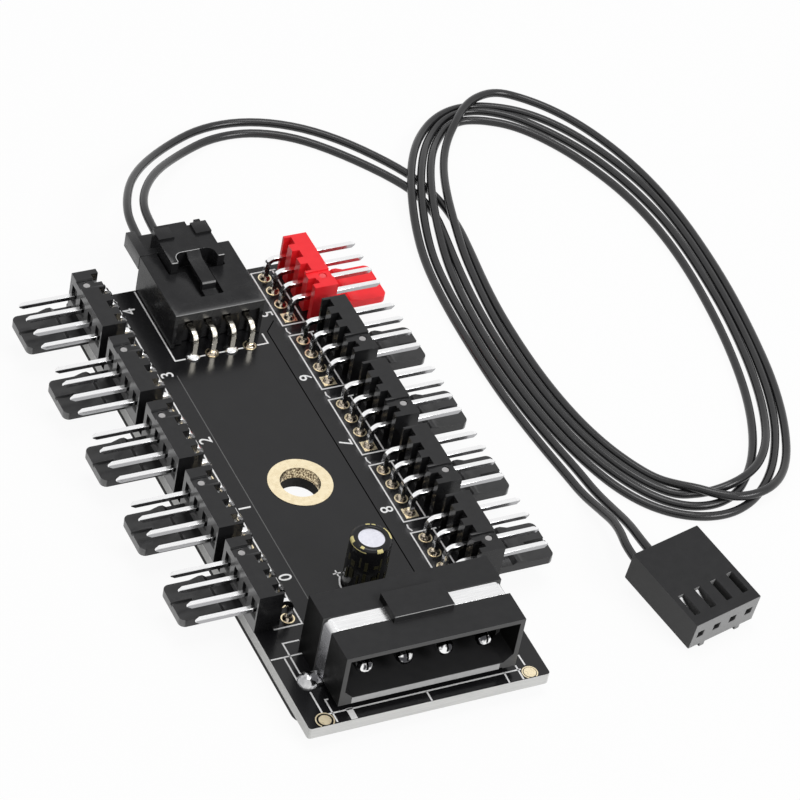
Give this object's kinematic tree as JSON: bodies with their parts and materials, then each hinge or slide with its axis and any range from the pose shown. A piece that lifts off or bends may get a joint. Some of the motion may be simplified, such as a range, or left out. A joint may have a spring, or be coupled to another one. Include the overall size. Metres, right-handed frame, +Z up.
{
  "type": "pc fan controller hub",
  "caption": "Black circuit board with rows of right-angle fan headers, a shrouded power inlet at one end, a latched control plug on a coiled lead at the other and a central mounting hole.",
  "frame": {"origin": "on the mounting hole's axis, in the plane that the insulating pad rests on", "axes": "+Z up out of the board, +Y along the board from the power inlet to the control connector, +X towards the row with the red header"},
  "size_m": [0.0955, 0.1052, 0.0127],
  "materials": {
    "board": "glass-fibre laminate under black semi-gloss solder mask, white printed lines",
    "gold": "thin gold plating on copper",
    "insulating_pad": "matt black insulating foam",
    "black_plastic": "moulded nylon, satin black",
    "red_plastic": "moulded nylon, slightly translucent red",
    "tinned_metal": "bright tin plating on brass",
    "solder": "bright solder",
    "capacitor_can": "bare satin aluminium",
    "capacitor_sleeve": "shrunk film sleeve, glossy black",
    "capacitor_seal": "matt black rubber",
    "wire_sleeve": "soft vinyl insulation, satin black"
  },
  "bodies": {
    "root": {"capacitor_can": "capacitor_can", "capacitor_leads": "tinned_metal", "capacitor_seal": "capacitor_seal", "capacitor_sleeve": "capacitor_sleeve", "capacitor_solder": "solder", "circuit_board": "board", "control_header_housing": "black_plastic", "control_header_pins": "tinned_metal", "control_pin_solder": "solder", "control_plug_housing": "black_plastic", "control_plug_terminals": "tinned_metal", "corner_marks": "gold", "fan_header_0": "black_plastic", "fan_header_1": "black_plastic", "fan_header_2": "black_plastic", "fan_header_3": "black_plastic", "fan_header_4": "black_plastic", "fan_header_5": "red_plastic", "fan_header_6": "black_plastic", "fan_header_7": "black_plastic", "fan_header_8": "black_plastic", "fan_header_9": "black_plastic", "fan_pin_solder": "solder", "fan_pins_0": "tinned_metal", "fan_pins_1": "tinned_metal", "fan_pins_2": "tinned_metal", "fan_pins_3": "tinned_metal", "fan_pins_4": "tinned_metal", "fan_pins_5": "tinned_metal", "fan_pins_6": "tinned_metal", "fan_pins_7": "tinned_metal", "fan_pins_8": "tinned_metal", "fan_pins_9": "tinned_metal", "far_plug_housing": "black_plastic", "far_plug_terminals": "tinned_metal", "far_wire_a": "wire_sleeve", "far_wire_b": "wire_sleeve", "hub_wire_a": "wire_sleeve", "hub_wire_b": "wire_sleeve", "insulating_pad": "insulating_pad", "lead_coil": "wire_sleeve", "mounting_hole_plating": "gold", "power_inlet_housing": "black_plastic", "power_inlet_pins": "tinned_metal", "power_inlet_solder": "solder", "power_inlet_strap": "tinned_metal", "through_hole_pads": "gold"}
  },
  "joints": []
}
